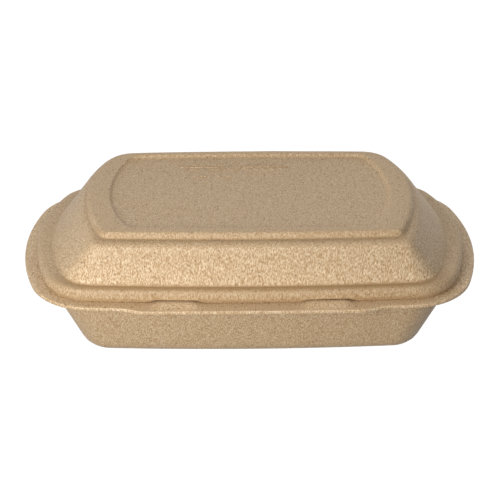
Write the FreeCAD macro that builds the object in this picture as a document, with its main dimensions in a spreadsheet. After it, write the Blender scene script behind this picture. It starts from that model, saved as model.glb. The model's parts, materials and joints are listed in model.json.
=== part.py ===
"""Hinged foam clamshell: a deep food tray with a wide bowed brim, and a stepped lid on its back fold.

Millimetres, +Z up. The origin is on the table at the middle of the tray, and the front is at -Y.
Both halves are formed from one sheet of foam, so every wall has the sheet's thickness.
"""
import FreeCAD, Part
import math
import os
import re

import Sketcher
from FreeCAD import Placement, Rotation, Vector

# Driving dimensions. A section is a rectangle with bowed sides and round corners: half its width,
# half its depth and its corner radius. A turn, in degrees, is how far a bowed end or long side has
# curved round by the time that it meets the corner.
SIZES = {
    "sheet": 2.0,
    "lid_clearance": 0.3,
    "brim_height": 36.0,
    "brim_half_width": 120.0,
    "brim_half_depth": 64.6,
    "brim_corner": 33.0,
    "brim_end_turn": 18.0,
    "brim_side_turn": 2.4,
    "lip_half_width": 55.0,
    "lip_ramp": 13.0,
    "lip_reach": 2.1,
    "tray_mouth_half_width": 107.3,
    "tray_mouth_half_depth": 58.8,
    "tray_mouth_corner": 22.0,
    "tray_floor_half_width": 90.0,
    "tray_floor_half_depth": 48.4,
    "tray_floor_corner": 16.0,
    "tray_end_turn": 10.7,
    "tray_side_turn": 3.3,
    "tray_floor_round": 6.0,
    "tray_mouth_round": 1.4,
    "hinge_half_width": 76.0,
    "hinge_reach": 2.25,
    "hinge_end_run": 6.0,
    "lid_rim_half_width": 113.4,
    "lid_rim_half_depth": 59.8,
    "lid_rim_corner": 19.5,
    "lid_rim_depth": 6.4,
    "lid_rim_round": 1.6,
    "lid_skirt_height": 7.6,
    "lid_wall_half_width": 105.4,
    "lid_wall_half_depth": 55.4,
    "lid_wall_corner": 14.0,
    "lid_wall_height": 23.2,
    "lid_wall_round": 1.4,
    "lid_ledge_half_width": 88.0,
    "lid_ledge_half_depth": 51.0,
    "lid_ledge_corner": 9.5,
    "lid_ledge_round": 3.2,
    "lid_end_turn": 28.0,
    "lid_side_turn": 2.4,
    "crown_half_width": 82.4,
    "crown_half_depth": 47.6,
    "crown_corner": 6.0,
    "crown_height": 3.4,
    "crown_taper": 1.1,
    "crown_round": 1.5,
    "panel_half_width": 74.0,
    "panel_half_depth": 41.2,
    "panel_corner": 6.0,
    "panel_recess": 1.8,
    "panel_taper": 1.0,
    "catch_offset": 39.0,
    "catch_width": 27.0,
    "catch_height": 2.0,
    "catch_back": 58.3,
    "catch_gap": 0.35,
}

doc = FreeCAD.newDocument("foam_clamshell")
sheet = doc.addObject("Spreadsheet::Sheet", "Sizes")
for row, (alias, value) in enumerate(SIZES.items(), start=1):
    sheet.set("A%d" % row, alias)
    sheet.set("B%d" % row, str(value))
    sheet.setAlias("B%d" % row, alias)
doc.recompute()

# Heights and reaches that several pieces share, as formulas over the sheet.
BRIM_UNDERSIDE = "brim_height - sheet"
RIM_BOTTOM = "brim_height + lid_clearance"
RIM_TOP = RIM_BOTTOM + " + lid_rim_depth"
SKIRT_TOP = RIM_BOTTOM + " + lid_skirt_height"
LEDGE_TOP = SKIRT_TOP + " + lid_wall_height"
CROWN_TOP = LEDGE_TOP + " + crown_height"
FOLD_EDGE = "brim_half_depth + hinge_reach - lid_clearance / 2"
LIP_REACH = "brim_half_depth + lip_reach"

# Facets round a bend. The tray's floor shows its bend most, and the bends inside the lid stay sharp.
FLOOR_STEPS = 3
ROUND_STEPS = 2
TRIM_STEPS = 1
SHARP = 0


def bound(formula):
    """The formula with every alias read from the sheet, for an expression."""
    return re.sub(r"[a-z]\w*", lambda word: "Sizes." + word[0] if word[0] in SIZES else word[0], formula)


def value_of(formula):
    return float(sheet.evalExpression(bound(formula)))


def section(prefix, height, inset="0", turns=None):
    """A bowed rectangle named by its sizes in the sheet, moved inwards by the inset."""
    turns = turns or prefix.split("_")[0]
    return {
        "height": height,
        "half_width": "%s_half_width - (%s)" % (prefix, inset),
        "half_depth": "%s_half_depth - (%s)" % (prefix, inset),
        "corner": "%s_corner - (%s)" % (prefix, inset),
        "end_turn": turns + "_end_turn",
        "side_turn": turns + "_side_turn",
    }


def part_way(start, end, share):
    """The section that lies a share of the way from one section to another."""
    found = {key: "(%s) + ((%s) - (%s)) * (%s)" % (start[key], end[key], start[key], share) for key in start}
    found["end_turn"] = start["end_turn"]
    found["side_turn"] = start["side_turn"]
    return found


def rounded(first, corner, last, steps=ROUND_STEPS):
    """Sections along a curve that leaves the first and meets the last in line with the corner between."""
    if steps == SHARP:
        return [corner]
    sections = []
    for step in range(steps + 1):
        share = str(step / steps)
        sections.append(part_way(part_way(first, corner, share), part_way(corner, last, share), share))
    return sections


def origin_plane(body, role):
    return next(item for item in body.Origin.OriginFeatures if item.Role == role)


def new_sketch(body, name, role, offset, formula):
    """A sketch on an origin plane of its own body, raised along the plane's normal by a formula."""
    sketch = body.newObject("Sketcher::SketchObject", name)
    sketch.AttachmentSupport = [(origin_plane(body, role), "")]
    sketch.MapMode = "FlatFace"
    sketch.AttachmentOffset = Placement(Vector(0, 0, offset), Rotation())
    sketch.setExpression("AttachmentOffset.Base.z", bound(formula))
    return sketch


def bind(sketch, constraint, name, formula):
    """Adds a driving size to a sketch and ties it to the sheet."""
    index = sketch.addConstraint(constraint)
    sketch.renameConstraint(index, name)
    sketch.setExpression("Constraints." + name, bound(formula))


def bow_radii(half_width, half_depth, corner, end_turn, side_turn):
    """Radii of the bowed end and of the bowed long side that meet the corner arc without a kink."""
    end_lean = 1 - math.cos(end_turn)
    side_lean = 1 - math.cos(side_turn)
    end_rise = math.sin(end_turn)
    side_rise = math.sin(side_turn)
    end_room = half_width - corner * (1 - end_lean - side_rise)
    side_room = half_depth - corner * (1 - side_lean - end_rise)
    scale = end_lean * side_lean - end_rise * side_rise
    end_bow = (end_room * side_lean - side_rise * side_room) / scale
    side_bow = (end_lean * side_room - end_rise * end_room) / scale
    return end_bow, side_bow


def outline_sketch(body, name, shape):
    """Sketches a section as eight tangent arcs with its sizes bound to the sheet."""
    half_width = value_of(shape["half_width"])
    half_depth = value_of(shape["half_depth"])
    corner = value_of(shape["corner"])
    end_angle = math.radians(value_of(shape["end_turn"]))
    side_turn = math.radians(value_of(shape["side_turn"]))
    end_bow, side_bow = bow_radii(half_width, half_depth, corner, end_angle, side_turn)
    side_angle = math.pi / 2 - side_turn
    centre = Vector((side_bow - corner) * math.sin(side_turn), (end_bow - corner) * math.sin(end_angle), 0)
    sketch = new_sketch(body, name, "XY_Plane", value_of(shape["height"]), shape["height"])

    half_turn = math.pi
    arcs = [
        (half_width - end_bow, 0, end_bow, -end_angle, end_angle),
        (centre.x, centre.y, corner, end_angle, side_angle),
        (0, half_depth - side_bow, side_bow, side_angle, half_turn - side_angle),
        (-centre.x, centre.y, corner, half_turn - side_angle, half_turn - end_angle),
        (end_bow - half_width, 0, end_bow, half_turn - end_angle, half_turn + end_angle),
        (-centre.x, -centre.y, corner, half_turn + end_angle, half_turn + side_angle),
        (0, side_bow - half_depth, side_bow, half_turn + side_angle, 2 * half_turn - side_angle),
        (centre.x, -centre.y, corner, -side_angle, -end_angle),
    ]
    for x, y, radius, start, end in arcs:
        circle = Part.Circle(Vector(x, y, 0), Vector(0, 0, 1), radius)
        sketch.addGeometry(Part.ArcOfCircle(circle, start, end), False)
    for index in range(len(arcs)):
        sketch.addConstraint(Sketcher.Constraint("Tangent", index, 2, (index + 1) % len(arcs), 1))

    ends, sides, corners = (0, 4), (2, 6), (1, 3, 5, 7)
    for index in ends:
        sketch.addConstraint(Sketcher.Constraint("PointOnObject", index, 3, -1))
    for index in sides:
        sketch.addConstraint(Sketcher.Constraint("PointOnObject", index, 3, -2))
    for group in (ends, sides, corners):
        for index in group[1:]:
            sketch.addConstraint(Sketcher.Constraint("Equal", group[0], index))
    bind(sketch, Sketcher.Constraint("Radius", corners[0], corner), "corner", shape["corner"])
    end_span = Sketcher.Constraint("Angle", ends[0], 2 * end_angle)
    bind(sketch, end_span, "end_span", "%s * 2 * 1 deg" % shape["end_turn"])
    side_span = Sketcher.Constraint("Angle", sides[0], 2 * side_turn)
    bind(sketch, side_span, "side_span", "%s * 2 * 1 deg" % shape["side_turn"])

    marks = [
        ("right", 0, Vector(half_width, 0, 0), -1, "half_width", "DistanceX", 1),
        ("left", 4, Vector(-half_width, 0, 0), -1, "half_width", "DistanceX", -1),
        ("back", 2, Vector(0, half_depth, 0), -2, "half_depth", "DistanceY", 1),
        ("front", 6, Vector(0, -half_depth, 0), -2, "half_depth", "DistanceY", -1),
    ]
    for label, arc, spot, axis, key, kind, side in marks:
        mark = sketch.addGeometry(Part.Point(spot), True)
        sketch.addConstraint(Sketcher.Constraint("PointOnObject", mark, 1, axis))
        sketch.addConstraint(Sketcher.Constraint("PointOnObject", mark, 1, arc))
        reach = value_of(shape[key])
        if side > 0:
            constraint = Sketcher.Constraint(kind, -1, 1, mark, 1, reach)
        else:
            constraint = Sketcher.Constraint(kind, mark, 1, -1, 1, reach)
        bind(sketch, constraint, label, shape[key])
    return sketch


def polygon_sketch(body, name, role, height, points):
    """A closed outline of straight runs, with each corner's two coordinates given as formulas."""
    sketch = new_sketch(body, name, role, value_of(height), height)
    spots = [Vector(value_of(first), value_of(second), 0) for first, second in points]
    for index, spot in enumerate(spots):
        sketch.addGeometry(Part.LineSegment(spot, spots[(index + 1) % len(spots)]), False)
    for index, (first, second) in enumerate(points):
        following = (index + 1) % len(points)
        sketch.addConstraint(Sketcher.Constraint("Coincident", index, 2, following, 1))
        for axis, kind, formula in (("x", "DistanceX", first), ("y", "DistanceY", second)):
            reach = value_of(formula)
            bind(sketch, Sketcher.Constraint(kind, -1, 1, index, 1, reach), "%s%d" % (axis, index), formula)
    return sketch


def loft(body, kind, name, shapes):
    """A ruled loft of one kind, added or cut, through sections from the first to the last."""
    sketches = [outline_sketch(body, "%s_%d" % (name, index), shape) for index, shape in enumerate(shapes)]
    feature = body.newObject("PartDesign::" + kind, name)
    feature.Profile = sketches[0]
    feature.Sections = sketches[1:]
    feature.Ruled = True
    doc.recompute()
    return feature


def extrude(body, kind, name, sketch, length, midplane=False):
    """A pad or a pocket of a sketch, with its length tied to the sheet."""
    feature = body.newObject("PartDesign::" + kind, name)
    feature.Profile = sketch
    feature.Midplane = midplane
    feature.setExpression("Length", bound(length))
    doc.recompute()
    return feature


def mirror_left(body, name, features):
    """Repeats features on the other side of the middle plane of the body."""
    feature = body.newObject("PartDesign::Mirrored", name)
    feature.Originals = features
    feature.MirrorPlane = (origin_plane(body, "YZ_Plane"), [""])
    body.Tip = feature
    doc.recompute()
    return feature


def new_body(label):
    body = doc.addObject("PartDesign::Body", label)
    body.Label = label
    body.Placement = Placement()
    return body


def tongue(half_width, ramp, start, reach):
    """Corners of a strip that stands out of a brim, with its ends run out in a ramp."""
    return [
        ("-(%s) - %s" % (half_width, ramp), start),
        ("%s + %s" % (half_width, ramp), start),
        (half_width, reach),
        ("-(%s)" % half_width, reach),
    ]


def make_tray():
    """The food well, its wide bowed brim, the front lip and the two catches on it."""
    tray = new_body("tray")
    floor = section("tray_floor", "0")
    mouth = section("tray_mouth", BRIM_UNDERSIDE)
    floor_share = "tray_floor_round / (%s)" % BRIM_UNDERSIDE
    mouth_share = "tray_mouth_round / (%s)" % BRIM_UNDERSIDE
    outside = rounded(section("tray_floor", "0", "tray_floor_round"), floor,
                      part_way(floor, mouth, floor_share), FLOOR_STEPS)
    outside += rounded(part_way(mouth, floor, mouth_share), mouth,
                       section("tray_mouth", BRIM_UNDERSIDE, "-tray_mouth_round"))
    loft(tray, "AdditiveLoft", "WellOutside", outside)

    brim = outline_sketch(tray, "BrimOutline", section("brim", BRIM_UNDERSIDE))
    extrude(tray, "Pad", "Brim", brim, "sheet")
    lip_outline = tongue("lip_half_width", "lip_ramp", "sheet - brim_half_depth", "-(%s)" % LIP_REACH)
    lip = polygon_sketch(tray, "LipOutline", "XY_Plane", BRIM_UNDERSIDE, lip_outline)
    extrude(tray, "Pad", "Lip", lip, "sheet")
    hinge_outline = tongue("hinge_half_width", "hinge_end_run", "brim_half_depth - 2 * sheet", FOLD_EDGE)
    hinge = polygon_sketch(tray, "HingeOutline", "XY_Plane", BRIM_UNDERSIDE, hinge_outline)
    extrude(tray, "Pad", "HingeEdge", hinge, "sheet")

    floor = section("tray_floor", "sheet", "sheet / 2")
    mouth = section("tray_mouth", "brim_height", "sheet / 2")
    inner_round = "tray_floor_round - sheet"
    inside = rounded(section("tray_floor", "sheet", "sheet / 2 + " + inner_round), floor,
                     part_way(floor, mouth, "(%s) / (%s)" % (inner_round, BRIM_UNDERSIDE)), ROUND_STEPS)
    inside += rounded(part_way(mouth, floor, mouth_share), mouth,
                      section("tray_mouth", "brim_height", "sheet / 2 - tray_mouth_round"), TRIM_STEPS)
    loft(tray, "SubtractiveLoft", "Well", inside)

    catch_profile = [
        ("-catch_back", "brim_height - sheet * 3 / 4"),
        ("-catch_back", "brim_height + catch_height"),
        ("-catch_back - sheet / 2", "brim_height + catch_height"),
        ("-(%s) + sheet / 2" % LIP_REACH, "brim_height + sheet / 4"),
        ("-(%s) + sheet / 2" % LIP_REACH, "brim_height - sheet * 3 / 4"),
    ]
    profile = polygon_sketch(tray, "CatchProfile", "YZ_Plane", "catch_offset", catch_profile)
    catch = extrude(tray, "Pad", "Catch", profile, "catch_width", midplane=True)
    mirror_left(tray, "Catches", [catch])
    return tray


def lid_sections(inset, drop, steps):
    """Sections of the lid's outside, or of its inside when moved in and down by the sheet."""
    bottom = section("lid_rim", RIM_BOTTOM, inset)
    rim = section("lid_rim", "%s - (%s)" % (RIM_TOP, drop), inset)
    wall = section("lid_wall", "%s - (%s)" % (SKIRT_TOP, drop), inset)
    ledge = section("lid_ledge", "%s - (%s)" % (LEDGE_TOP, drop), inset)
    ledge_end = section("lid_ledge", "%s - (%s)" % (LEDGE_TOP, drop), "%s + lid_ledge_round" % inset)
    skirt_reach = "(lid_rim_half_depth - lid_wall_half_depth)"
    sections = [bottom]
    sections += rounded(part_way(rim, bottom, "lid_rim_round / lid_rim_depth"), rim,
                        part_way(rim, wall, "lid_rim_round / " + skirt_reach), steps)
    sections += rounded(part_way(wall, rim, "lid_wall_round / " + skirt_reach), wall,
                        part_way(wall, ledge, "lid_wall_round / lid_wall_height"), steps)
    sections += rounded(part_way(ledge, wall, "lid_ledge_round / lid_wall_height"), ledge, ledge_end, steps)
    return sections


def crown_sections(inset, drop, steps):
    """Sections of the crown's outside, or of its inside when moved in and down by the sheet."""
    top_height = "%s - (%s)" % (CROWN_TOP, drop)
    top_inset = inset + " + crown_taper"
    foot = section("crown", "%s - (%s)" % (LEDGE_TOP, drop), inset, turns="lid")
    top = section("crown", top_height, top_inset, turns="lid")
    last = section("crown", top_height, top_inset + " + crown_round", turns="lid")
    return [foot] + rounded(part_way(top, foot, "crown_round / crown_height"), top, last, steps)


def make_lid():
    """The lid: a skirt that rests on the brim, a sloped wall, a ledge, and a crown with a sunk panel."""
    lid = new_body("lid")
    loft(lid, "AdditiveLoft", "LidOutside", lid_sections("0", "0", ROUND_STEPS))
    loft(lid, "AdditiveLoft", "Crown", crown_sections("0", "0", ROUND_STEPS))
    loft(lid, "SubtractiveLoft", "LidInside", lid_sections("sheet", "sheet", SHARP))
    loft(lid, "SubtractiveLoft", "CrownInside", crown_sections("sheet", "sheet", SHARP))

    slab = section("panel", CROWN_TOP + " - panel_recess - sheet", "-sheet / 2", turns="lid")
    extrude(lid, "Pad", "Panel", outline_sketch(lid, "PanelOutline", slab), "sheet + panel_recess / 2")
    panel_edge = section("panel", CROWN_TOP, turns="lid")
    panel_floor = section("panel", CROWN_TOP + " - panel_recess", "panel_taper", turns="lid")
    loft(lid, "SubtractiveLoft", "PanelRecess", [panel_edge, panel_floor])

    hinge_outline = tongue("hinge_half_width", "hinge_end_run", "lid_rim_half_depth - sheet", FOLD_EDGE)
    hinge = polygon_sketch(lid, "LidHingeOutline", "XY_Plane", RIM_BOTTOM, hinge_outline)
    extrude(lid, "Pad", "LidHingeEdge", hinge, "sheet")

    notch = [
        ("-lid_rim_half_depth + 2 * sheet", "brim_height - sheet"),
        ("-lid_rim_half_depth + 2 * sheet", "brim_height + catch_height + catch_gap"),
        ("-(%s)" % LIP_REACH, "brim_height + catch_height + catch_gap"),
        ("-(%s)" % LIP_REACH, "brim_height - sheet"),
    ]
    profile = polygon_sketch(lid, "NotchProfile", "YZ_Plane", "catch_offset", notch)
    cut = extrude(lid, "Pocket", "Notch", profile, "catch_width + 2 * catch_gap", midplane=True)
    mirror_left(lid, "Notches", [cut])
    return lid


def write_parts(bodies):
    """Stops on any failed object or unsound shape, then writes each body to its own file."""
    doc.recompute()
    for item in doc.Objects:
        if "Invalid" in item.State or "Error" in item.State:
            raise RuntimeError("%s failed: %s" % (item.Name, item.State))
    os.makedirs("parts", exist_ok=True)
    for body in bodies:
        shape = body.Shape
        if shape.isNull() or not shape.isValid() or len(shape.Solids) != 1:
            raise RuntimeError("%s is not one sound solid" % body.Label)
        shape.exportStep("parts/%s.step" % body.Label)
        box = shape.BoundBox
        print("%s: %.1f cm3, z %.2f to %.2f, y %.2f to %.2f, x %.2f to %.2f" % (
            body.Label, shape.Volume / 1000, box.ZMin, box.ZMax, box.YMin, box.YMax, box.XMin, box.XMax))


write_parts([make_tray(), make_lid()])
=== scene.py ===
"""Looks of a hinged foam clamshell box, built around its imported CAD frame."""
import json
import math
from collections import namedtuple

import bmesh
import bpy
from mathutils import Matrix, Vector, noise


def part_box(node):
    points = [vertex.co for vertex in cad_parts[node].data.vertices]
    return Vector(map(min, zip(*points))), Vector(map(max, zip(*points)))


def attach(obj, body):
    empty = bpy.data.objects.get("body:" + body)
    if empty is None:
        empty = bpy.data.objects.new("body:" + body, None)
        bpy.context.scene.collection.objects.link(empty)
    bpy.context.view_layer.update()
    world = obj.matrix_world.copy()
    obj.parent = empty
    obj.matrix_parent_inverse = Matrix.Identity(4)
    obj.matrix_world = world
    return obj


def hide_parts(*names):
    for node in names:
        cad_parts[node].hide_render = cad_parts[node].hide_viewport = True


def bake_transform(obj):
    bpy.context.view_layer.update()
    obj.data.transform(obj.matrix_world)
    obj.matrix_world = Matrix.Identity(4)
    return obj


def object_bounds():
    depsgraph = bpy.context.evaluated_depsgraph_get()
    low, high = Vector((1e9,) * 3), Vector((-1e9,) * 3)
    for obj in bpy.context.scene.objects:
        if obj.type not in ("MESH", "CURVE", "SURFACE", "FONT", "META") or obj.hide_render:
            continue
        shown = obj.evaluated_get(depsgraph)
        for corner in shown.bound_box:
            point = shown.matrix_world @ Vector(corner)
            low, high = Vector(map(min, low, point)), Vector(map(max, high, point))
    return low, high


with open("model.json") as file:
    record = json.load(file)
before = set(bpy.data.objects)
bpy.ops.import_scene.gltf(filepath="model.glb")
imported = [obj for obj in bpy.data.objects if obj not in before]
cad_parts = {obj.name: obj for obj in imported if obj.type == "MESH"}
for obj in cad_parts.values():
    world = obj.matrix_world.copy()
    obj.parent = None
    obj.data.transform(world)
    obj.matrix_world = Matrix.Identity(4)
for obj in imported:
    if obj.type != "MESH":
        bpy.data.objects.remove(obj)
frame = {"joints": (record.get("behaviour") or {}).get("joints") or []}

bl_info = {
    "name": "Foam Clamshell Box",
    "version": (1, 0, 0),
    "blender": (4, 5, 0),
    "location": "View3D > Sidebar > Clamshell",
    "description": "Builds a thermoformed foam clamshell box with its lid, fold and relief mark",
    "category": "Object",
}

MM = 0.001
TRAY_BODY = "tray_half"
LID_BODY = "lid_half"
CAD_LOW, CAD_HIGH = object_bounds()
FOLD_LINE = Vector(frame["joints"][0]["pos_m"])
LID_LOW, LID_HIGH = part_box("lid")
FOLD_EDGE = CAD_HIGH.y

# From the middle, the rims' back edges follow the fold up to the first distance and leave it by the second.
FOLD_START = 76.0 * MM
FOLD_END = 82.0 * MM

# Segments round each kind of arc in an outline. The long sides carry the catches, so they are finest.
END_STEPS = 15
CORNER_STEPS = 16
SIDE_STEPS = 120

# Rings round each rounding, and the usual distance between rings elsewhere.
ROUND_STEPS = 4
RUN_SPACING = 2.2 * MM

# How much of the runs before and after a knot its rounding may take.
ROUND_BEFORE = 0.9
ROUND_AFTER = 0.6

# Where a section's front begins and is reached, as a share of its half depth.
FRONT_START = 0.6
FRONT_FULL = 0.95

# Vertices closer than this are one.
MERGE_DISTANCE = 0.001 * MM

# A horizontal outline of the box at one height. Reach says how far a rim runs out to the lip and the fold,
# the painted shading field how much painted shade the foam gets there, with painted light below 0, and back
# how much deeper the outline is towards the back.
Section = namedtuple(
    "Section",
    "half_width half_depth corner front_corner end_turn front_turn side_turn height reach press back",
    defaults=(0, 0, 0))


def length(name, default_mm, description):
    """A property for a length, with its default given in millimetres."""
    return bpy.props.FloatProperty(
        name=name, description=description, default=default_mm * MM, subtype="DISTANCE", unit="LENGTH",
        precision=5)


def colour(name, default_hex, description):
    """A property for a colour, with its default given as an sRGB hex value."""
    return bpy.props.FloatVectorProperty(
        name=name, description=description, default=linear(default_hex), subtype="COLOR", size=3, min=0,
        max=1)


def number(name, default, description):
    """A property for a share, an angle in degrees or another plain number."""
    return bpy.props.FloatProperty(name=name, description=description, default=default)


def count(name, default, description):
    """A property for a whole number."""
    return bpy.props.IntProperty(name=name, description=description, default=default)


def linear(hex_code):
    """Linear red, green and blue of an sRGB hex value."""
    channels = [int(hex_code[start:start + 2], 16) / 255 for start in (1, 3, 5)]
    return tuple(c / 12.92 if c <= 0.04045 else ((c + 0.055) / 1.055) ** 2.4 for c in channels)


class SheetSizes(bpy.types.PropertyGroup):
    """Sizes that the tray and the lid share, because both are formed from one foam sheet."""
    thickness: length("Thickness", 2.0, "Thickness of the foam sheet")
    edge_round: length("Edge round", 0.7, "Softening of the sheet's cut edges")
    wave: length("Waviness", 0.35, "How far the formed walls stray from true")
    wave_length: length("Wave length", 34.0, "Distance over which the walls stray")
    wave_start: length("Wave start", 0.5, "How far below the brim the waviness begins")
    wave_full: length("Wave full", 12.0, "How far below the brim it is full")
    lid_wave_full: length("Lid wave full", 8.0, "How far above the lid's crease it is full")


class TraySizes(bpy.types.PropertyGroup):
    """Sizes of the tray: the food well, the brim, the front lip and the catches."""
    brim_height: length("Brim height", 36.0, "Height of the brim's top")
    brim_half_width: length("Brim half width", 120.0, "From the middle to the end of an ear")
    brim_half_depth: length("Brim half depth", 64.6, "From the middle to the brim's long edge")
    brim_corner: length("Brim corner", 33.0, "Corner radius of the brim")
    end_rise: length("End rise", 1.1, "How far the ears and the skirt's ends bend up")
    rise_depth: length("Rise depth", 14.0, "How far below the brim that bend dies out")
    lip_half_width: length("Lip half width", 55.0, "Half the width of the front lip")
    lip_ramp: length("Lip ramp", 13.0, "Run over which the lip dies into the brim")
    mouth_half_width: length("Mouth half width", 107.3, "Half the well's width under the brim")
    mouth_half_depth: length("Mouth half depth", 58.8, "Half the well's depth under the brim")
    mouth_corner: length("Mouth corner", 25.0, "Corner radius of the well's mouth")
    mouth_round: length("Mouth round", 1.6, "Rounding between the well and the brim")
    floor_half_width: length("Floor half width", 90.0, "Half the floor's width, to the sharp corner")
    floor_half_depth: length("Floor half depth", 48.4, "Half the floor's depth, to the sharp corner")
    floor_corner: length("Floor corner", 14.0, "Corner radius of the floor")
    floor_round: length("Floor round", 6.0, "Rounding between the floor and the wall")
    flat_inset: length("Flat inset", 10.2, "How far in from the floor's edge its innermost ring lies")
    inside_offset: length("Inside offset", 1.5, "How far the inside lies in from the outside")


class LidSizes(bpy.types.PropertyGroup):
    """Sizes of the lid: the skirt, the wall, the ledge, the crown and the sunk panel."""
    rim_half_width: length("Rim half width", 113.4, "Half the width of the skirt")
    rim_half_depth: length("Rim half depth", 59.8, "Half the depth of the skirt")
    rim_corner: length("Rim corner", 19.5, "Back corner radius of the skirt")
    rim_front_corner: length("Rim front corner", 25.0, "Front corner radius of the skirt")
    undercut: length("Undercut", 1.3, "How far the skirt's lower edge turns in")
    undercut_height: length("Undercut height", 2.4, "Height over which the edge turns in")
    belly_round: length("Belly round", 1.2, "Rounding where the edge starts to turn in")
    edge_round: length("Edge round", 0.25, "Softening of the skirt's lower edge")
    inner_round: length("Inner round", 0.3, "Rounding inside the skirt's edge")
    fold_step: length("Fold step", 0.1, "Step where the skirt starts to run out to the fold")
    rim_depth: length("Rim depth", 7.0, "Height of the skirt's upright edge")
    rim_round: length("Rim round", 3.0, "Rounding over the skirt")
    skirt_height: length("Skirt height", 7.6, "Height of the crease above the skirt's edge")
    wall_half_width: length("Wall half width", 104.8, "Half the width at the crease")
    wall_half_depth: length("Wall half depth", 55.4, "Half the depth at the crease")
    wall_corner: length("Wall corner", 14.5, "Back corner radius at the crease")
    wall_front_corner: length("Wall front corner", 16.0, "Front corner radius at the crease")
    crease_round: length("Crease round", 0.8, "Softness of the crease")
    # Places of the ring of painted light above the crease and of the run of painted crease shade below it.
    painted_light_share: number("Palest", 0.06, "Where the wall is palest above the crease, as a share of it")
    shaded_run: number("Dense run", 0.4, "Share of the skirt's top, below the crease, that is dense")
    wall_height: length("Wall height", 23.2, "Height of the wall above the crease")
    ledge_half_width: length("Ledge half width", 88.3, "Half the width of the ledge")
    ledge_half_depth: length("Ledge half depth", 54.4, "Half the depth of the ledge")
    ledge_corner: length("Ledge corner", 8.0, "Back corner radius of the ledge")
    ledge_front_corner: length("Ledge front corner", 6.5, "Front corner radius of the ledge")
    ledge_back: length("Ledge back", -2.6, "Extra depth of the ledge towards the back")
    ledge_round: length("Ledge round", 4.2, "Rounding over the shoulder")
    crown_half_width: length("Crown half width", 86.5, "Half the width of the crown's foot")
    crown_half_depth: length("Crown half depth", 47.6, "Half the depth of the crown's foot")
    crown_corner: length("Crown corner", 16.0, "Back corner radius of the crown")
    crown_front_corner: length("Crown front corner", 6.0, "Front corner radius of the crown")
    crown_back: length("Crown back", 0.8, "Extra depth of the crown towards the back")
    crown_height: length("Crown height", 3.4, "Height of the crown above the ledge")
    crown_taper: length("Crown taper", 0.8, "How far the crown draws in")
    crown_round: length("Crown round", 1.6, "Rounding over the crown's edge")
    crown_foot_round: length("Crown foot round", 0.8, "Rounding between the ledge and the crown")
    crown_inner_round: length("Crown inner round", 0.5, "The same on the inside")
    panel_half_width: length("Panel half width", 74.0, "Half the width of the sunk panel")
    panel_half_depth: length("Panel half depth", 41.2, "Half the depth of the sunk panel")
    panel_corner: length("Panel corner", 6.5, "Corner radius of the sunk panel")
    panel_back: length("Panel back", 2.8, "Extra depth of the panel towards the back")
    panel_recess: length("Panel recess", 1.8, "Depth of the sunk panel")
    panel_round: length("Panel round", 1.5, "Rounding at the panel's edge")
    panel_slope: length("Panel slope", 0.9, "Run of the panel's sloped edge")
    panel_inset: length("Panel inset", 5.0, "How far in from the panel's edge its innermost ring lies")
    settle: length("Settle", 0.2, "How far the soft skirt settles towards the brim")


class CatchSizes(bpy.types.PropertyGroup):
    """Sizes of the two catches on the front lip and of the notches that take them."""
    offset: length("Offset", 39.0, "From the middle to a catch")
    width: length("Width", 30.0, "Width of a catch at its foot")
    height: length("Height", 2.0, "Height of a catch above the brim")
    back: length("Back", 58.3, "From the middle to the back of a catch")
    slope: length("Slope", 8.0, "Run of a catch's ends")
    fall: length("Fall", 1.2, "Run over which a catch falls away at its back")
    ramp_start: number("Ramp start", -0.15, "Start of a catch's ramp at the lip's edge; flat below 0")
    gap: length("Gap", 0.12, "Room above a catch in its notch")
    end_gap: length("End gap", 0.192, "Room at the ends of a catch in its notch")
    bow: length("Bow", 0.34, "How far the skirt has bowed back at a catch")


class FoldSizes(bpy.types.PropertyGroup):
    """Sizes of the crushed web along the back fold."""
    half_width: length("Half width", 75.0, "Half the length of the web")
    height: length("Height", 2.6, "Height of the web while the lid is shut")
    thickness: length("Thickness", 0.7, "Thickness of the crushed foam")
    inset: length("Inset", 0.06, "How far the web lies in from the fold's edge")
    hollow: length("Hollow", 0.25, "Depth of the crease along the fold")
    ripple_length: length("Ripple length", 12.0, "Distance between ripples of the crease")
    columns: count("Columns", 90, "Faces along the web")
    rows: count("Rows", 12, "Faces across the web")


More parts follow.
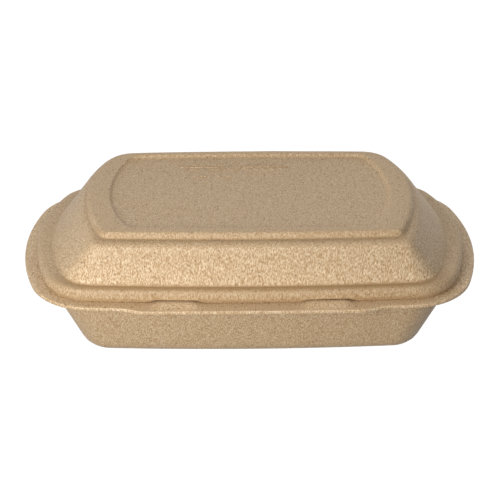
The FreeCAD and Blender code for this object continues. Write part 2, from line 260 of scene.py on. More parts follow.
class MarkSizes(bpy.types.PropertyGroup):
    """Sizes of the plain relief on the sunk panel."""
    centre_x: length("Centre X", -8.0, "Place of the relief across the panel")
    centre_y: length("Centre Y", 31.0, "Place of the relief from front to back")
    height: length("Height", 0.45, "Height of the relief above the panel")
    line_width: length("Line width", 1.3, "Width of the stems and dashes")
    ring_radius: length("Ring radius", 3.6, "Radius of the middle ring")
    ring_parts: count("Ring parts", 24, "Bars in the ring")
    ring_overlap: number("Ring overlap", 0.7, "Half a bar of the ring, in parts of the ring")
    leaf_pairs: count("Leaf pairs", 5, "Pairs of leaves on a sprig")
    leaf_start: number("Leaf start", 2.0, "From the middle to the first leaves, in ring radii")
    leaf_spacing: length("Leaf spacing", 4.6, "Distance from one pair of leaves to the next")
    leaf_length: length("Leaf length", 6.2, "Length of a leaf")
    leaf_width: length("Leaf width", 2.1, "Width of a leaf")
    leaf_angle: number("Leaf angle", 38, "Lean of a leaf, in degrees")
    leaf_stand: number("Leaf stand", 1.3, "From the stem to a leaf, in leaf widths")
    leaf_taper: number("Leaf taper", 0.45, "How much narrower and lower a leaf is at its tips")
    leaf_point: number("Leaf point", 1.5, "How late a leaf narrows, as a power")
    tip_shrink: number("Tip shrink", 0.35, "How much smaller the leaves get along a sprig")
    stem_start: number("Stem start", 1.3, "From the middle to a stem, in ring radii")
    stem_trim: number("Stem trim", 0.2, "Share of the last leaf spacing without a stem")
    dashes: count("Dashes", 14, "Dashes in the row")
    dash_cycle: count("Dash cycle", 3, "Dashes from one short dash to the next")
    long_dash: number("Long dash", 0.36, "Half a long dash, in spacings")
    short_dash: number("Short dash", 0.2, "Half a short dash, in spacings")
    row_width: length("Row width", 60.0, "Length of the row of dashes")
    row_shift: length("Row shift", 4.0, "Place of the row across, from the relief's middle")
    row_drop: length("Row drop", 10.5, "Distance from the relief's middle to the row")


class FoamLook(bpy.types.PropertyGroup):
    """Colours, grain and finish of the kraft foam, with a painted crease shade and pale cells that also
    paint glints.
    """
    base: colour("Base", "#A27F53", "Foam between the stretched cells")
    # Pale cells, drawn out upwards and made whitish so that they also stand in as painted glints on the
    # walls.
    fleck_and_glint: colour("Fleck", "#DEC8A7", "Pale stretched cells")
    speck: colour("Speck", "#80633F", "Dark bran specks")
    # Painted shade colour for the creases, the skirt and the tray's well, and how much of it the attribute
    # brings.
    crease_shade: colour("Pressed", "#8C6D42", "Foam crushed in a crease")
    shading_strength: number("Press strength", 0.8, "Share of the crushed colour where the foam is crushed")
    cell_size: number("Cell size", 0.55, "Size of the foam's cells, in millimetres")
    cell_draw: number("Cell draw", 0.35, "Squeeze of the grain that draws it out upwards")
    cell_depth: length("Cell depth", 0.2, "Depth of the cells")
    # Grain levels for the pale cells that double as painted glints.
    fleck_and_glint_low: number("Fleck low", 0.363, "Grain level where the pale cells begin")
    fleck_and_glint_high: number("Fleck high", 0.723, "Grain level of the palest cells")
    bran_size: number("Bran size", 1.7, "Distance between places for a speck, in millimetres")
    bran_empty: number("Bran empty", 0.88, "Share of those places without a speck")
    bran_edge: number("Bran edge", 0.42, "Where a speck ends, in those distances")
    bran_core: number("Bran core", 0.15, "Where a speck is darkest")
    bran_strength: number("Bran strength", 0.8, "Share of the speck's colour at its core")
    swell_size: number("Swell size", 14.0, "Size of the skin's slow swells, in millimetres")
    swell_depth: length("Swell depth", 0.25, "Depth of the swells")
    satin_low: number("Satin low", 0.35, "Grain level where the skin is smoothest")
    satin_high: number("Satin high", 0.65, "Grain level where it is roughest")
    smoothest: number("Smoothest", 0.5, "Roughness of the smoothest skin")
    roughest: number("Roughest", 0.66, "Roughness of the roughest skin")
    ior: number("IOR", 1.49, "Refraction of polystyrene")


class StageSettings(bpy.types.PropertyGroup):
    """Camera and light settings."""
    azimuth: number("Azimuth", -1.55, "Turn of the camera, in degrees")
    elevation: number("Elevation", 29.1, "Camera above the horizon, in degrees")
    roll: number("Roll", -0.3, "Tilt of the picture, in degrees")
    distance: length("Distance", 1001.0, "From the camera to the box")
    aim_height: length("Aim height", 34.7, "Height that the camera aims at")
    aim_shift: length("Aim shift", 0.2, "How far to the right the camera aims")
    lens: number("Lens", 133.9, "Focal length in millimetres")
    sensor: number("Sensor", 36, "Width of the sensor in millimetres")
    floor: colour("Floor", "#FFFFFF", "Colour of the floor")
    floor_glow: number("Floor glow", 1.05, "Light that the floor gives off")
    floor_reach: length("Floor reach", 6000.0, "From the middle to the floor's edge")
    key_power: number("Key power", 2.62, "Power of the key light, in watts")
    key_size: length("Key size", 300.0, "Side length of the key light")
    sky_level: number("Sky level", 0.5, "Light from above")
    sky_height: number("Sky height", 0.6, "Upward share of a direction where that light is full")
    ground_level: number("Ground level", 0.12, "Light from below")
    ground_height: number("Ground height", -0.1, "Upward share of a direction where it begins to grow")
    back_level: number("Back level", 0.8, "Added light from behind")
    back_start: number("Back start", 0.2, "Backward share of a direction where that light begins")
    back_full: number("Back full", 0.8, "Backward share of a direction where it is full")


GROUPS = {
    "clamshell_sheet": SheetSizes,
    "clamshell_tray": TraySizes,
    "clamshell_lid": LidSizes,
    "clamshell_catch": CatchSizes,
    "clamshell_fold": FoldSizes,
    "clamshell_mark": MarkSizes,
    "clamshell_foam": FoamLook,
    "clamshell_stage": StageSettings,
}

# How far a bowed end and a bowed long side have turned by the time that they meet a corner.
# In degrees: a bowed end towards its back corner, the same towards its front corner, and a long side.
TURNS = {
    "brim": (18, 18, 2.4),
    "mouth": (10.7, 10.7, 3.3),
    "floor": (10.7, 10.7, 3.3),
    "rim": (28, 17.5, 2.4),
    "wall": (28, 19, 2.4),
    "ledge": (28, 16, 2.4),
    "crown": (28, 22, 2.4),
    "panel": (25, 28, 2.4),
}

# Painted shade on the foam: 1 is the full painted crease shade, 0 is none, and below 0 the foam is painted
# paler as painted light.
PAINTED_SHADING = {
    "well": 0.25,
    "brim": -0.3,
    "crown edge": 0.2,
    "crown foot": 0.5,
    "above the crease": -0.25,
    "crease": 1.0,
    "below the crease": 0.6,
    "skirt": 0.35,
    "skirt edge": 0.5,
}

# Share of that painted shade and light that is left away from the front, on the tray and on the lid.
TRAY_END_SHADING = 1.0
LID_END_SHADING = 0.3

# In a notch the skirt's rings are squeezed to this share of their height, so that they stay apart.
NOTCH_KEPT = 0.02

# Places of the two colours and of the result among the sockets of a mix node.
MIX_FIRST = 6
MIX_SECOND = 7
MIX_RESULT = 2

# Segments round a bar and a leaf of the relief, and rings from pole to pole of either.
BAR_SEGMENTS = 16
LEAF_SEGMENTS = 20
RELIEF_RINGS = 8

# Vertices of a unit sphere that are closer than this to its middle plane count as on it.
MIDDLE_WIDTH = 0.01

# The key light stands low at the front left.
KEY_PLACE = Vector((-0.20, -0.46, 0.165))


def smooth(low, high, value):
    """0 below low, 1 above high, and an easy curve between; high may be the lower one."""
    share = min(max((value - low) / (high - low), 0.0), 1.0)
    return share * share * (3 - 2 * share)


def mix(first, second, share):
    """A number part of the way from the first to the second."""
    return first + (second - first) * share


def mix_sections(first, second, share):
    """A section part of the way from the first to the second."""
    return Section(*(mix(a, b, share) for a, b in zip(first, second)))


def grown(section, amount, height=None):
    """The section moved outwards by an amount, at its own height or a new one."""
    return section._replace(
        half_width=section.half_width + amount, half_depth=section.half_depth + amount,
        corner=section.corner + amount, front_corner=section.front_corner + amount,
        height=section.height if height is None else height)


def read_section(sizes, name, height):
    """The section whose sizes are kept under a name.

    Without a size of its own, a front corner is like a back corner.
    """
    corner = getattr(sizes, name + "_corner")
    front_corner = getattr(sizes, name + "_front_corner", corner)
    turns = (math.radians(turn) for turn in TURNS[name])
    return Section(
        getattr(sizes, name + "_half_width"), getattr(sizes, name + "_half_depth"), corner, front_corner,
        *turns, height)


def span(first, second):
    """Distance between two sections, for spacing rings along the formed sheet."""
    across = ((first.half_width - second.half_width) ** 2 + (first.half_depth - second.half_depth) ** 2) / 2
    return math.sqrt(across + (first.height - second.height) ** 2)


def formed_path(path):
    """Rings along a run of sections; each is given with the distance over which it is rounded."""
    knots = [knot for knot, _ in path]
    rings = knots[:1]
    for index in range(1, len(knots)):
        before, (knot, cut) = knots[index - 1], path[index]
        after = knots[index + 1] if index + 1 < len(knots) else None
        if after:
            cut = min(cut, span(rings[-1], knot) * ROUND_BEFORE, span(knot, after) * ROUND_AFTER)
        start = mix_sections(knot, before, cut / span(before, knot)) if cut else knot
        run_from = rings[-1]
        steps = max(1, round(span(run_from, start) / RUN_SPACING))
        rings += [mix_sections(run_from, start, step / steps) for step in range(1, steps + 1)]
        if cut:
            end = mix_sections(knot, after, cut / span(knot, after))
            for step in range(1, ROUND_STEPS + 1):
                share = step / ROUND_STEPS
                first = mix_sections(start, knot, share)
                rings.append(mix_sections(first, mix_sections(knot, end, share), share))
    return rings


def bow_radii(half_width, half_depth, corner, end_turn, side_turn):
    """Radii of the bowed end and long side that meet the corner arc without a kink."""
    end_lean, end_rise = 1 - math.cos(end_turn), math.sin(end_turn)
    side_lean, side_rise = 1 - math.cos(side_turn), math.sin(side_turn)
    end_room = half_width - corner * (1 - end_lean - side_rise)
    side_room = half_depth - corner * (1 - side_lean - end_rise)
    scale = end_lean * side_lean - end_rise * side_rise
    end_bow = (end_room * side_lean - side_rise * side_room) / scale
    side_bow = (end_lean * side_room - end_rise * end_room) / scale
    return end_bow, side_bow


def outline(section):
    """Points round a section, anticlockwise from the middle of its right-hand end by way of its back."""
    wide, lean, side = section.half_width, section.side_turn, math.pi / 2 - section.side_turn
    halves = [
        (1, section.half_depth + section.back, section.corner, section.end_turn),
        (-1, section.half_depth, section.front_corner, section.front_turn),
    ]
    points = []
    for way, deep, corner, end in halves:
        end_bow, side_bow = bow_radii(wide, deep, corner, end, lean)
        x, y = (side_bow - corner) * math.sin(lean), (end_bow - corner) * math.sin(end)
        arcs = [
            (wide - end_bow, 0, end_bow, 0, end, END_STEPS),
            (x, y, corner, end, side, CORNER_STEPS),
            (0, deep - side_bow, side_bow, side, math.pi - side, SIDE_STEPS),
            (-x, y, corner, math.pi - side, math.pi - end, CORNER_STEPS),
            (end_bow - wide, 0, end_bow, math.pi - end, math.pi, END_STEPS),
        ]
        for centre_x, centre_y, radius, start, stop, steps in arcs:
            for step in range(steps):
                angle = mix(start, stop, step / steps)
                across, along = centre_x + radius * math.cos(angle), centre_y + radius * math.sin(angle)
                points.append(Vector((way * across, way * along, section.height)))
    return points


def link_mesh(bm, name, material):
    """Makes a smooth-shaded object at the origin from a bmesh."""
    bmesh.ops.recalc_face_normals(bm, faces=bm.faces)
    mesh = bpy.data.meshes.new(name)
    bm.to_mesh(mesh)
    bm.free()
    mesh.shade_smooth()
    mesh.materials.append(material)
    piece = bpy.data.objects.new(name, mesh)
    bpy.context.scene.collection.objects.link(piece)
    return piece


def formed_shell(name, rings, shape, end_shading, material):
    """Lays a grid along the rings, closes it round the box and fills its two flat ends.

    The grid starts as a unit square around the origin. Each vertex carries its ring's painted shading as an
    attribute; away from the front, only the share given for the ends of it is left.
    """
    rows = [[shape(point, ring) for point in outline(ring)] for ring in rings]
    columns = len(rows[0])
    bm = bmesh.new()
    bmesh.ops.create_grid(bm, x_segments=columns, y_segments=len(rows) - 1, size=0.5)
    press = bm.verts.layers.float.new("press")
    for vert in bm.verts:
        column = round((vert.co.x + 0.5) * columns) % columns
        row = round((vert.co.y + 0.5) * (len(rows) - 1))
        vert.co = rows[row][column]
        # Painted shade and light are strongest at the front, where the creases lie in shade; the ends keep
        # only a share.
        in_front = smooth(FRONT_START, FRONT_FULL, -vert.co.y / rings[row].half_depth)
        vert[press] = rings[row].press * mix(end_shading, 1.0, in_front)
    bmesh.ops.remove_doubles(bm, verts=bm.verts, dist=MERGE_DISTANCE)
    bmesh.ops.holes_fill(bm, edges=[edge for edge in bm.edges if edge.is_boundary], sides=0)
    return link_mesh(bm, name, material)


def wavering(point, sheet):
    """A slow drift of the formed sheet at a point, from -1 to 1 times its waviness."""
    return noise.noise(point / sheet.wave_length) * sheet.wave


def catch_side(x, catch, margin):
    """1 within a catch's width plus a margin, and 0 beyond its sloped ends."""
    reach = abs(abs(x) - catch.offset)
    half = catch.width / 2 + margin
    return smooth(half, half - catch.slope, reach)


def catch_rise(spot, catch, lip_edge):
    """Height of a catch at a point of the front lip: a ramp from the lip's edge up to a ridge."""
    depth = catch.bow * (spot.x / catch.offset) ** 2 - spot.y
    ramp = mix(catch.ramp_start, 1.0, (lip_edge - depth) / (lip_edge - catch.back - catch.fall))
    ramp = min(max(ramp, 0.0), 1.0) * smooth(catch.back - catch.fall, catch.back, depth)
    return catch.height * ramp * catch_side(spot.x, catch, 0)


def end_lift(point, tray):
    """How far the brim and the skirt are bent up at a distance from the middle."""
    return tray.end_rise * (point.x / tray.brim_half_width) ** 2


def fold_share(point, reach):
    """How far a rim's back edge runs out to the fold at a point."""
    return smooth(FOLD_END, FOLD_START, abs(point.x)) * reach if point.y > 0 else 0.0


def shape_tray(scene):
    """Returns the function that forms the tray's lip, fold edge, catches and slight waviness."""
    tray, catch, sheet = scene.clamshell_tray, scene.clamshell_catch, scene.clamshell_sheet
    lip_edge = -CAD_LOW.y
    rest_level = tray.brim_height - sheet.thickness

    def shape(point, ring):
        spot = point.copy()
        if spot.y < 0:
            lip = smooth(tray.lip_half_width + tray.lip_ramp, tray.lip_half_width, abs(spot.x)) * ring.reach
            spot.y = mix(spot.y, -lip_edge, lip)
        spot.y = mix(spot.y, FOLD_EDGE, fold_share(spot, ring.reach))
        above = spot.z - rest_level
        if spot.y < 0 and above > -tray.mouth_round:
            spot.z += catch_rise(spot, catch, lip_edge)
        drift = wavering(point, sheet) * smooth(-sheet.wave_start, -sheet.wave_full, above)
        drift *= smooth(0, tray.floor_round, spot.z)
        spot.y -= math.copysign(drift, spot.y)
        spot.z += end_lift(spot, tray) * smooth(-tray.rise_depth, 0, above)
        return spot

    return shape


def tray_rings(scene):
    """Rings of the tray from the middle of its underside, round the brim, to the middle of the well."""
    tray, sheet = scene.clamshell_tray, scene.clamshell_sheet
    thick = sheet.thickness
    under = tray.brim_height - thick
    # The well gets painted shade and the brim's top gets painted light.
    floor = read_section(tray, "floor", 0)._replace(press=PAINTED_SHADING["well"])
    mouth = read_section(tray, "mouth", under)._replace(press=PAINTED_SHADING["well"])
    brim = read_section(tray, "brim", under)._replace(reach=1, press=PAINTED_SHADING["well"])
    brim_top = brim._replace(height=tray.brim_height, press=PAINTED_SHADING["brim"])
    mouth_top = grown(mouth, -tray.inside_offset, tray.brim_height)._replace(press=PAINTED_SHADING["brim"])
    return formed_path([
        (grown(floor, -tray.flat_inset), 0),
        (floor, tray.floor_round),
        (mouth, tray.mouth_round),
        (brim, sheet.edge_round),
        (brim_top, sheet.edge_round),
        (mouth_top, tray.mouth_round / 2),
        (grown(floor, -tray.inside_offset, thick), tray.floor_round - thick),
        (grown(floor, -tray.flat_inset, thick), 0),
    ])


def lid_rings(scene):
    """Rings of the lid from the middle of its sunk panel, round the skirt, to the middle of its inside."""
    lid, thick = scene.clamshell_lid, scene.clamshell_sheet.thickness
    bottom = LID_LOW.z
    crease = bottom + lid.skirt_height
    ledge_top = crease + lid.wall_height
    crown_top = ledge_top + lid.crown_height
    panel_floor = crown_top - lid.panel_recess
    rim = read_section(lid, "rim", bottom - lid.settle)._replace(press=PAINTED_SHADING["skirt"])
    rim_top = rim._replace(height=bottom + lid.rim_depth)
    rim_belly = rim._replace(height=bottom + lid.undercut_height)
    turned_in = grown(rim, -lid.undercut)._replace(press=PAINTED_SHADING["skirt edge"])
    tongue = mix_sections(rim_belly, turned_in, 1 - thick / lid.undercut_height)
    tongue = tongue._replace(press=PAINTED_SHADING["skirt edge"])
    wall = read_section(lid, "wall", crease)
    ledge = read_section(lid, "ledge", ledge_top)._replace(back=lid.ledge_back)
    crown = read_section(lid, "crown", ledge_top)._replace(back=lid.crown_back)
    panel = read_section(lid, "panel", crown_top)._replace(back=lid.panel_back)
    # The crown's edge and foot, the crease and the skirt get painted shade; the wall just above the crease
    # gets painted light.
    outside = [
        (grown(panel, -lid.panel_inset, panel_floor), 0),
        (grown(panel, -lid.panel_slope, panel_floor), lid.panel_round),
        (panel, lid.panel_round),
        (grown(crown, -lid.crown_taper, crown_top)._replace(press=PAINTED_SHADING["crown edge"]), lid.crown_round),
        (crown._replace(press=PAINTED_SHADING["crown foot"]), lid.crown_foot_round),
        (ledge, lid.ledge_round),
        (mix_sections(wall, ledge, lid.painted_light_share)._replace(press=PAINTED_SHADING["above the crease"]), 0),
        (wall._replace(press=PAINTED_SHADING["crease"]), lid.crease_round),
        (mix_sections(wall, rim_top, lid.shaded_run)._replace(press=PAINTED_SHADING["below the crease"]), 0),
        (rim_top, lid.rim_round),
        (rim_belly, lid.belly_round),
        (tongue, 0),
        (tongue._replace(height=bottom + thick - lid.fold_step, reach=1), 0),
        (turned_in._replace(reach=1), lid.edge_round),
    ]
    inside = [
        (grown(rim, -thick), lid.inner_round),
        (grown(rim, -thick, rim_top.height - thick), lid.rim_round / 2),
        (grown(wall, -thick, crease - thick), lid.crease_round),
        (grown(ledge, -thick, ledge_top - thick), lid.ledge_round / 2),
        (grown(crown, -thick, ledge_top - thick), lid.crown_inner_round),
        (grown(crown, -thick - lid.crown_taper, crown_top - thick), lid.crown_round / 2),
        (grown(panel, thick / 2, crown_top - thick), lid.panel_round / 2),
        (grown(panel, thick / 2 - lid.panel_slope, panel_floor - thick), lid.panel_round / 2),
        (grown(panel, -lid.panel_inset, panel_floor - thick), 0),
    ]
    return formed_path(outside + inside)


def shape_lid(scene):
    """Returns the function that forms the lid's fold edge, its two notches and its slight waviness."""
    lid, catch, sheet = scene.clamshell_lid, scene.clamshell_catch, scene.clamshell_sheet
    tray = scene.clamshell_tray
    notch_top = tray.brim_height + catch.height + catch.gap
    crease = LID_LOW.z + lid.skirt_height
    wave_full = crease + sheet.lid_wave_full

    def shape(point, ring):
        spot = point.copy()
        spot.y = mix(spot.y, FOLD_EDGE, fold_share(spot, ring.reach))
        if spot.y < 0 and spot.z < notch_top:
            inside = catch_side(spot.x, catch, catch.end_gap)
            spot.z = mix(spot.z, mix(notch_top, spot.z, NOTCH_KEPT), inside)
        spot.y -= math.copysign(wavering(point, sheet) * smooth(crease, wave_full, point.z), spot.y)
        spot.z += end_lift(spot, tray) * smooth(crease + lid.wall_height, crease, point.z)
        return spot

    return shape


def fold_web(scene, material):
    """The thin crushed web of foam that joins the two halves along the fold."""
    web = scene.clamshell_fold
    bm = bmesh.new()
    bmesh.ops.create_grid(bm, x_segments=web.columns, y_segments=web.rows, size=0.5)
    outer = FOLD_EDGE - web.inset
    for vert in bm.verts:
        along, across = vert.co.x * 2 * web.half_width, vert.co.y * web.height
        belly = web.hollow * (1 - (2 * vert.co.y) ** 2)
        ripple = noise.noise(Vector((along / web.ripple_length, 0, 0))) * web.hollow
        vert.co = Vector((along, outer - belly - abs(ripple), FOLD_LINE.z + across))
    bmesh.ops.solidify(bm, geom=bm.faces[:], thickness=web.thickness)
    return link_mesh(bm, "fold_web", material)


def bar(bm, start, end, mark):
    """A low rounded bar in the relief, half sunk in the panel."""
    run = end - start
    radius = mark.line_width / 2
    made = bmesh.ops.create_uvsphere(
        bm, u_segments=BAR_SEGMENTS, v_segments=RELIEF_RINGS, radius=1)["verts"]
    for vert in made:
        x, y, z = vert.co
        side = math.copysign(run.length / 2 - radius, x) if abs(x) > MIDDLE_WIDTH else 0
        vert.co = Vector((x * radius + side, y * radius, z * mark.height))
    turn = Matrix.Rotation(math.atan2(run.y, run.x), 4, "Z")
    bmesh.ops.transform(bm, matrix=Matrix.Translation((start + end) / 2) @ turn, verts=made)


def leaf(bm, centre, angle, size, mark):
    """A low leaflet with pointed ends, half sunk in the panel."""
    half_length, half_width = mark.leaf_length * size / 2, mark.leaf_width * size / 2
    made = bmesh.ops.create_uvsphere(
        bm, u_segments=LEAF_SEGMENTS, v_segments=RELIEF_RINGS, radius=1)["verts"]
    for vert in made:
        x, y, z = vert.co
        taper = 1 - mark.leaf_taper * abs(x) ** mark.leaf_point
        vert.co = Vector((x * half_length, y * half_width * taper, z * mark.height * taper))
    bmesh.ops.transform(bm, matrix=Matrix.Translation(centre) @ Matrix.Rotation(angle, 4, "Z"), verts=made)


def on_ring(middle, angle, radius):
    """A point of a level circle round a middle."""
    return middle + Vector((math.cos(angle), math.sin(angle), 0)) * radius


def crown_mark(scene, material):
    """A plain relief of two sprigs, a ring and a row of dashes, pressed up in the sunk panel."""
    mark = scene.clamshell_mark
    level = LID_HIGH.z - scene.clamshell_lid.panel_recess
    middle = Vector((mark.centre_x, mark.centre_y, level))
    first_leaf = mark.ring_radius * mark.leaf_start
    stem_end = first_leaf + (mark.leaf_pairs - mark.stem_trim) * mark.leaf_spacing
    bm = bmesh.new()
    for side in (-1, 1):
        for index in range(mark.leaf_pairs):
            along = first_leaf + index * mark.leaf_spacing
            size = 1 - mark.tip_shrink * index / mark.leaf_pairs
            for edge in (-1, 1):
                place = middle + Vector((side * along, edge * mark.leaf_width * mark.leaf_stand, 0))
                leaf(bm, place, edge * side * math.radians(mark.leaf_angle), size, mark)
        inner = middle + Vector((side * mark.ring_radius * mark.stem_start, 0, 0))
        bar(bm, inner, middle + Vector((side * stem_end, 0, 0)), mark)
    part = 2 * math.pi / mark.ring_parts
    for index in range(mark.ring_parts):
        start = on_ring(middle, part * (index - mark.ring_overlap), mark.ring_radius)
        end = on_ring(middle, part * (index + mark.ring_overlap), mark.ring_radius)
        bar(bm, start, end, mark)
    pitch = mark.row_width / (mark.dashes - 1)
    for index in range(mark.dashes):
        place = middle + Vector((mark.row_shift - mark.row_width / 2 + index * pitch, -mark.row_drop, 0))
        share = mark.long_dash if index % mark.dash_cycle else mark.short_dash
        half = Vector((pitch * share, 0, 0))
        bar(bm, place - half, place + half, mark)
    return link_mesh(bm, "crown_mark", material)


def add_node(tree, kind, settings, links):
    """Adds a shader node, gives it its properties and socket values, and links its inputs."""
    node = tree.nodes.new(kind)
    for name, value in settings.items():
        if isinstance(name, int) or name in node.inputs:
            node.inputs[name].default_value = value
        else:
            setattr(node, name, value)
    for name, socket in links.items():
        tree.links.new(socket, node.inputs[name])
    return node


def per_metre(size_mm):
    """Texture scale whose features have a size given in millimetres."""
    return 1 / (size_mm * MM)


def kraft_foam(scene):
    """Thermoformed foam sheet with kraft pigment: a satin skin with pale grains that also stand in as
    painted glints, dark bran specks, and painted shade in the creases.
    """
    made = bpy.data.materials.get("kraft_foam_sheet")
    if made:
        return made
    look = scene.clamshell_foam
    material = bpy.data.materials.new("kraft_foam_sheet")
    material.use_nodes = True
    tree = material.node_tree
    tree.nodes.clear()
    place = add_node(tree, "ShaderNodeTexCoord", {}, {}).outputs["Object"]

    drawn = add_node(tree, "ShaderNodeMapping", {"Scale": (1, 1, look.cell_draw)}, {
        "Vector": place}).outputs[0]
    cells = add_node(tree, "ShaderNodeTexNoise", {
        "Scale": per_metre(look.cell_size), "Detail": 2, "Roughness": 0.6}, {
        "Vector": drawn}).outputs["Fac"]
    fleck_and_glint_share = add_node(tree, "ShaderNodeMapRange", {
        "From Min": look.fleck_and_glint_low, "From Max": look.fleck_and_glint_high}, {
        "Value": cells}).outputs[0]
    bran = add_node(tree, "ShaderNodeTexVoronoi", {"Scale": per_metre(look.bran_size), "Randomness": 1.0}, {
        "Vector": place})
    chosen = add_node(tree, "ShaderNodeSeparateColor", {}, {"Color": bran.outputs["Color"]})
    rare = add_node(tree, "ShaderNodeMath", {"operation": "GREATER_THAN", 1: look.bran_empty}, {
        0: chosen.outputs["Red"]})
    core = add_node(tree, "ShaderNodeMapRange", {
        "From Min": look.bran_edge, "From Max": look.bran_core, "To Max": look.bran_strength}, {
        "Value": bran.outputs["Distance"]})
    speck_share = add_node(tree, "ShaderNodeMath", {"operation": "MULTIPLY"}, {
        0: rare.outputs[0], 1: core.outputs[0]}).outputs[0]
    # The shells' attribute of painted shade: creases, skirt, crown foot and well darker, brim and wall
    # above the crease paler as painted light.
    shading_attribute = add_node(tree, "ShaderNodeAttribute", {"attribute_name": "press"}, {})
    shading_share = add_node(tree, "ShaderNodeMath", {"operation": "MULTIPLY", 1: look.shading_strength}, {
        0: shading_attribute.outputs["Fac"]}).outputs[0]

    # Pale cells, which also stand in as painted glints.
    flecked_and_glinting = add_node(tree, "ShaderNodeMix", {
        "data_type": "RGBA", MIX_FIRST: (*look.base, 1), MIX_SECOND: (*look.fleck_and_glint, 1)}, {
        0: fleck_and_glint_share})
    specked = add_node(tree, "ShaderNodeMix", {"data_type": "RGBA", MIX_SECOND: (*look.speck, 1)}, {
        0: speck_share, MIX_FIRST: flecked_and_glinting.outputs[MIX_RESULT]})
    # Painted shade mixed in unclamped, so that attribute values below 0 paint light instead.
    shaded = add_node(tree, "ShaderNodeMix", {
        "data_type": "RGBA", "clamp_factor": False, MIX_SECOND: (*look.crease_shade, 1)}, {
        0: shading_share, MIX_FIRST: specked.outputs[MIX_RESULT]})

    swell = add_node(tree, "ShaderNodeTexNoise", {
        "Scale": per_metre(look.swell_size), "Detail": 2, "Roughness": 0.5}, {
        "Vector": drawn})
    swell_bump = add_node(tree, "ShaderNodeBump", {"Strength": 1.0, "Distance": look.swell_depth}, {
        "Height": swell.outputs["Fac"]})
    cell_bump = add_node(tree, "ShaderNodeBump", {"Strength": 1.0, "Distance": look.cell_depth}, {
        "Height": cells, "Normal": swell_bump.outputs[0]})
    satin = add_node(tree, "ShaderNodeMapRange", {
        "From Min": look.satin_low, "From Max": look.satin_high,
        "To Min": look.smoothest, "To Max": look.roughest}, {
        "Value": cells})
    shader = add_node(tree, "ShaderNodeBsdfPrincipled", {"IOR": look.ior, "Specular IOR Level": 0.5}, {
        "Base Color": shaded.outputs[MIX_RESULT], "Roughness": satin.outputs[0],
        "Normal": cell_bump.outputs[0]})
    add_node(tree, "ShaderNodeOutputMaterial", {}, {"Surface": shader.outputs[0]})
    return material


def plain_floor(look):
    """White sweep that is lit so strongly that it shows no shadow."""
    material = bpy.data.materials.new("white_sweep")
    material.use_nodes = True
    shader = material.node_tree.nodes["Principled BSDF"]
    shader.inputs["Base Color"].default_value = (0, 0, 0, 1)
    shader.inputs["Roughness"].default_value = 1.0
    shader.inputs["Specular IOR Level"].default_value = 0.0
    shader.inputs["Emission Color"].default_value = (*look.floor, 1)
    shader.inputs["Emission Strength"].default_value = look.floor_glow
    return material


def add_surround(look):
    """White surround: bright above, dimmer below, and brighter again behind the box."""
    world = bpy.data.worlds.new("studio")
    world.use_nodes = True
    tree = world.node_tree
    tree.nodes.clear()
    direction = add_node(tree, "ShaderNodeTexCoord", {}, {}).outputs["Generated"]
    parts = add_node(tree, "ShaderNodeSeparateXYZ", {}, {0: direction})
    level = add_node(tree, "ShaderNodeMapRange", {
        "From Min": look.ground_height, "From Max": look.sky_height,
        "To Min": look.ground_level, "To Max": look.sky_level}, {
        "Value": parts.outputs["Z"]})
    behind = add_node(tree, "ShaderNodeMapRange", {
        "From Min": look.back_start, "From Max": look.back_full, "To Max": look.back_level}, {
        "Value": parts.outputs["Y"]})
    total = add_node(tree, "ShaderNodeMath", {"operation": "ADD"}, {
        0: level.outputs[0], 1: behind.outputs[0]})
    light = add_node(tree, "ShaderNodeBackground", {"Color": (1, 1, 1, 1)}, {"Strength": total.outputs[0]})
    add_node(tree, "ShaderNodeOutputWorld", {}, {"Surface": light.outputs[0]})
    bpy.context.scene.world = world


def add_light(name, place, aim, size, power):
    """A square soft light at a place, turned to its aim."""
    data = bpy.data.lights.new(name, "AREA")
    data.size = size
    data.energy = power
    light = bpy.data.objects.new(name, data)
    light.location = place
    light.rotation_mode = "QUATERNION"
    light.rotation_quaternion = (aim - place).to_track_quat("-Z", "Y")
    bpy.context.scene.collection.objects.link(light)


def place_camera(look):
    """Puts the camera where the photograph was taken from."""
    turn, lift, tilt = (math.radians(angle) for angle in (look.azimuth, look.elevation, look.roll))
    back = Vector((math.sin(turn) * math.cos(lift), -math.cos(turn) * math.cos(lift), math.sin(lift)))
    right = Vector((math.cos(turn), math.sin(turn), 0))
    up = back.cross(right)
    across = right * math.cos(tilt) - up * math.sin(tilt)
    upward = right * math.sin(tilt) + up * math.cos(tilt)
    data = bpy.data.cameras.new("camera")
    data.sensor_width = look.sensor
    data.lens = look.lens
    camera = bpy.data.objects.new("camera", data)
    camera.rotation_mode = "QUATERNION"
    camera.rotation_quaternion = Matrix((across, upward, back)).transposed().to_quaternion()
    camera.location = Vector((look.aim_shift, 0, look.aim_height)) + back * look.distance
    bpy.context.scene.collection.objects.link(camera)
    bpy.context.scene.camera = camera


class CLAMSHELL_OT_add_tray(bpy.types.Operator):
    """Add the tray with its brim, front lip and two catches"""
    bl_idname = "clamshell.add_tray"
    bl_label = "Add Tray"

    def execute(self, context):
        scene = context.scene
        rings, shape = tray_rings(scene), shape_tray(scene)
        tray = formed_shell("tray_shell", rings, shape, TRAY_END_SHADING, kraft_foam(scene))
        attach(tray, TRAY_BODY)
        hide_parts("tray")
        return {"FINISHED"}


class CLAMSHELL_OT_add_lid(bpy.types.Operator):
    """Add the lid with its skirt, ledge, crown and sunk panel"""
    bl_idname = "clamshell.add_lid"
    bl_label = "Add Lid"

    def execute(self, context):
        scene = context.scene
        rings, shape = lid_rings(scene), shape_lid(scene)
        lid = formed_shell("lid_shell", rings, shape, LID_END_SHADING, kraft_foam(scene))
        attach(lid, LID_BODY)
        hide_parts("lid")
        return {"FINISHED"}


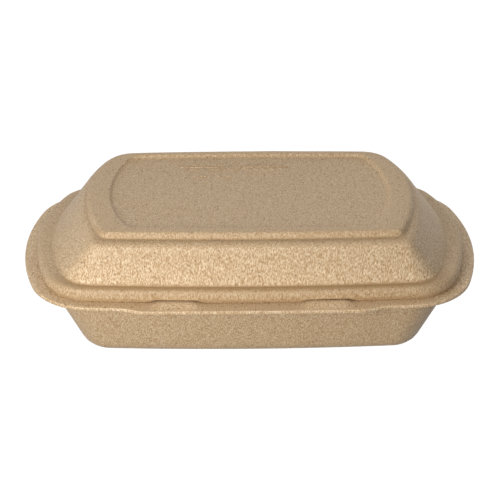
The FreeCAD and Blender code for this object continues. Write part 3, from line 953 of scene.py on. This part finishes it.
class CLAMSHELL_OT_add_fold(bpy.types.Operator):
    """Add the thin web of foam along the back fold"""
    bl_idname = "clamshell.add_fold"
    bl_label = "Add Fold"

    def execute(self, context):
        scene = context.scene
        web = fold_web(scene, kraft_foam(scene))
        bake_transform(web)
        return {"FINISHED"}


class CLAMSHELL_OT_add_mark(bpy.types.Operator):
    """Add the plain relief on the lid's sunk panel"""
    bl_idname = "clamshell.add_mark"
    bl_label = "Add Relief"

    def execute(self, context):
        scene = context.scene
        relief = crown_mark(scene, kraft_foam(scene))
        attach(relief, LID_BODY)
        return {"FINISHED"}


class CLAMSHELL_OT_add_stage(bpy.types.Operator):
    """Add the floor, the light and the camera"""
    bl_idname = "clamshell.add_stage"
    bl_label = "Add Stage"

    def execute(self, context):
        scene = context.scene
        look = scene.clamshell_stage
        bm = bmesh.new()
        bmesh.ops.create_grid(bm, x_segments=1, y_segments=1, size=look.floor_reach)
        floor = link_mesh(bm, "floor", plain_floor(look))
        floor.visible_diffuse = False
        middle = Vector((0, 0, look.aim_height))
        add_light("key", KEY_PLACE, middle, look.key_size, look.key_power)
        add_surround(look)
        scene.view_settings.view_transform = "Standard"
        place_camera(look)
        return {"FINISHED"}


class CLAMSHELL_PT_builder(bpy.types.Panel):
    """Lists the steps that build the box."""
    bl_idname = "CLAMSHELL_PT_builder"
    bl_label = "Foam Clamshell Box"
    bl_space_type = "VIEW_3D"
    bl_region_type = "UI"
    bl_category = "Clamshell"

    def draw(self, context):
        for step in STEPS:
            self.layout.operator(step.bl_idname)
        for name in GROUPS:
            group = getattr(context.scene, name)
            box = self.layout.box()
            for size in group.bl_rna.properties.keys():
                if size not in ("rna_type", "name"):
                    box.prop(group, size)


STEPS = (CLAMSHELL_OT_add_tray, CLAMSHELL_OT_add_lid, CLAMSHELL_OT_add_fold, CLAMSHELL_OT_add_mark,
         CLAMSHELL_OT_add_stage)


def register():
    for group in GROUPS.values():
        bpy.utils.register_class(group)
    for name, group in GROUPS.items():
        setattr(bpy.types.Scene, name, bpy.props.PointerProperty(type=group))
    for step in STEPS:
        bpy.utils.register_class(step)
    bpy.utils.register_class(CLAMSHELL_PT_builder)


def unregister():
    bpy.utils.unregister_class(CLAMSHELL_PT_builder)
    for step in reversed(STEPS):
        bpy.utils.unregister_class(step)
    for name in GROUPS:
        delattr(bpy.types.Scene, name)
    for group in reversed(GROUPS.values()):
        bpy.utils.unregister_class(group)


def main():
    register()
    bpy.ops.clamshell.add_tray()
    bpy.ops.clamshell.add_lid()
    bpy.ops.clamshell.add_fold()
    bpy.ops.clamshell.add_mark()
    bpy.ops.clamshell.add_stage()


if __name__ == "__main__":
    main()
